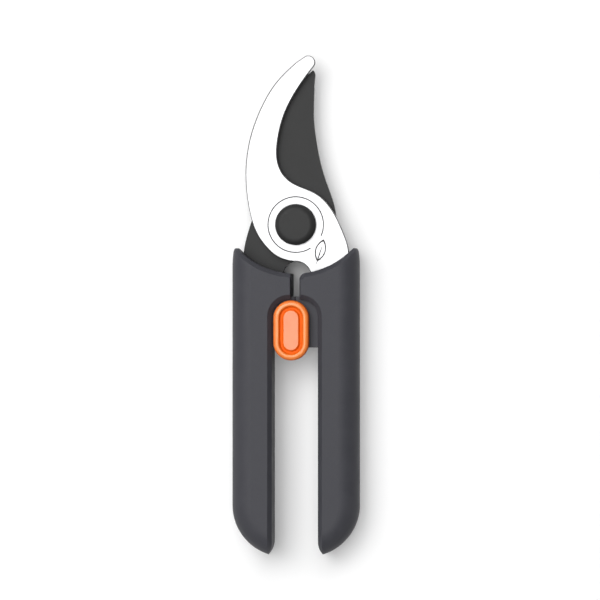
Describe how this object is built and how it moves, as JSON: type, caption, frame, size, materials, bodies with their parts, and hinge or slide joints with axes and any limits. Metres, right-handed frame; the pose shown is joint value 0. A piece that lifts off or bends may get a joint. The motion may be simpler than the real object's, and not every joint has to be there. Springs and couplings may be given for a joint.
{
  "type": "pruning shears",
  "caption": "Hand pruning shears with a curved bypass blade, a hooked counter jaw, a bolted pivot, a return spring and a sliding thumb lock.",
  "frame": {"origin": "centre of the outline on the back faces of the handles, where the shears rest", "axes": "+Y from the handle ends to the jaw tips, +X to the right seen from the front, +Z out of the front, towards the thumb lock"},
  "size_m": [0.0508, 0.1992, 0.0214],
  "materials": {
    "black_coated_steel": "satin black coating",
    "bright_steel": "bright satin",
    "dark_grey_plastic": "fine matt texture",
    "dark_screw_steel": "dark oxide",
    "bronze": "plain",
    "spring_steel": "drawn wire",
    "black_plastic": "plain moulded",
    "orange_plastic": "semi-gloss moulded"
  },
  "bodies": {
    "blade_arm": {"blade": "black_coated_steel", "left_front_shell": "dark_grey_plastic", "left_back_shell": "dark_grey_plastic", "left_shell_screws": "dark_screw_steel", "pivot_bolt": "bright_steel", "pivot_cap": "black_coated_steel", "front_washer": "bright_steel", "back_washer": "bright_steel", "lock_washer": "bright_steel", "pivot_nut": "bright_steel", "opening_stop_pin": "bright_steel", "return_spring": "spring_steel", "left_spring_seat": "black_plastic"},
    "hook_arm": {"hook": "bright_steel", "right_front_shell": "dark_grey_plastic", "right_back_shell": "dark_grey_plastic", "right_shell_screws": "dark_screw_steel", "pivot_bush": "bronze", "right_spring_seat": "black_plastic", "keeper_stud": "bright_steel"},
    "lock_slider": {"lock_button": "orange_plastic", "lock_latch": "black_plastic", "latch_screw": "dark_screw_steel"}
  },
  "joints": [
    {"name": "pivot", "type": "hinge", "parent": "blade_arm", "child": "hook_arm", "pos_m": [0, 0.0321, 0.01], "axis": [0, 0, 1], "range_deg": [0, 32], "stiffness_Nm_per_rad": 2.2, "springref_deg": 42.97, "deforming": ["return_spring"]},
    {"name": "lock_slide", "type": "slide", "parent": "blade_arm", "child": "lock_slider", "axis": [0, -1, 0], "range_m": [0, 0.005]}
  ]
}
